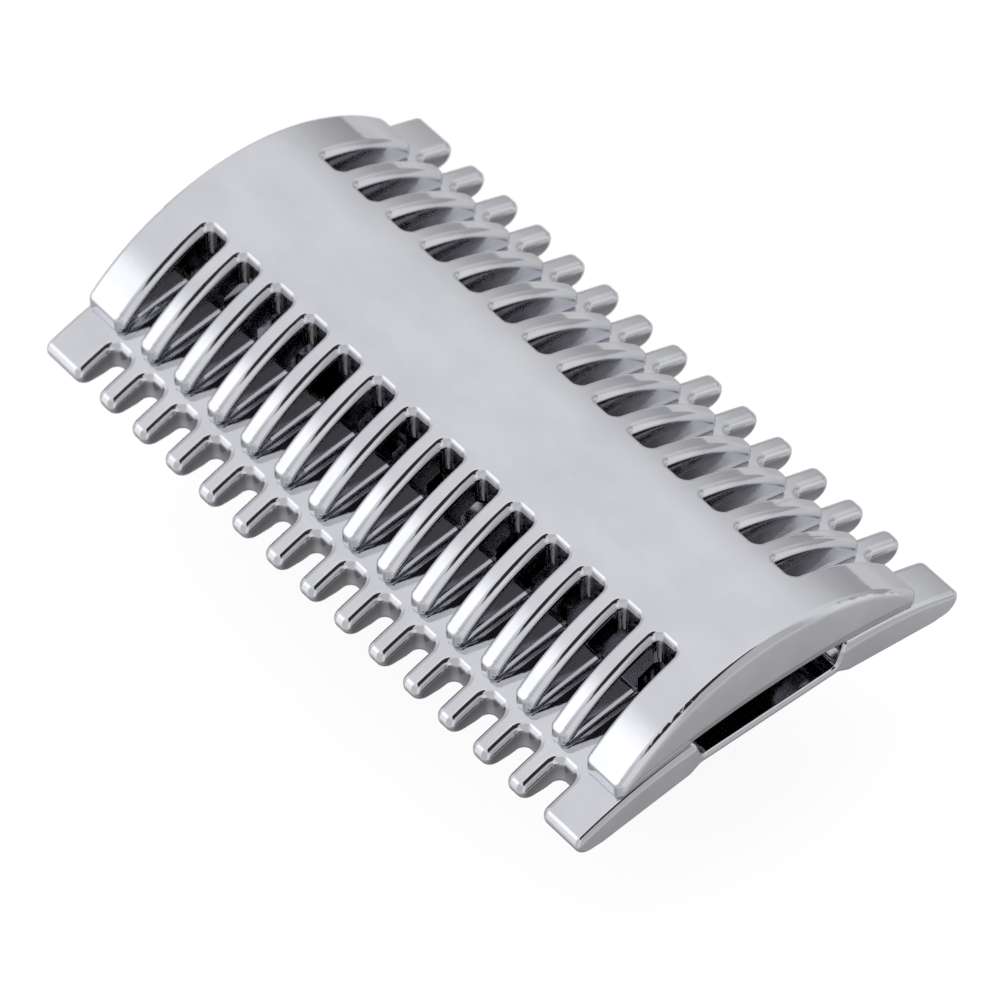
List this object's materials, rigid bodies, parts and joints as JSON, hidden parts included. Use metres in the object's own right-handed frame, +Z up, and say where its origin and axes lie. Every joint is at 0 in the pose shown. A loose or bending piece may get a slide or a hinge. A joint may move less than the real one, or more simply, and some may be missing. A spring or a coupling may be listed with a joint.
{
  "type": "safety razor head",
  "caption": "Double-edge safety razor head: open-comb base plate with a slotted, arched top cap that lifts off on its threaded stud.",
  "frame": {"origin": "handle axis, on the face under the base plate where the handle seats", "axes": "+X along the head, +Y across it towards a comb edge, +Z up through the crown of the cap"},
  "size_m": [0.0436, 0.0256, 0.016],
  "materials": {
    "chrome_plate": "polished chrome plate on a die casting",
    "stud_steel": "machined stainless steel thread",
    "pin_steel": "ground stainless steel"
  },
  "bodies": {
    "base": {"base_plate": "chrome_plate"},
    "cap": {"top_cap": "chrome_plate", "threaded_stud": "stud_steel", "locating_pin_left": "pin_steel", "locating_pin_right": "pin_steel"}
  },
  "joints": [
    {"name": "cap_lift", "type": "slide", "parent": "base", "child": "cap", "axis": [0, 0, 1], "range_m": [0, 0.014]}
  ]
}
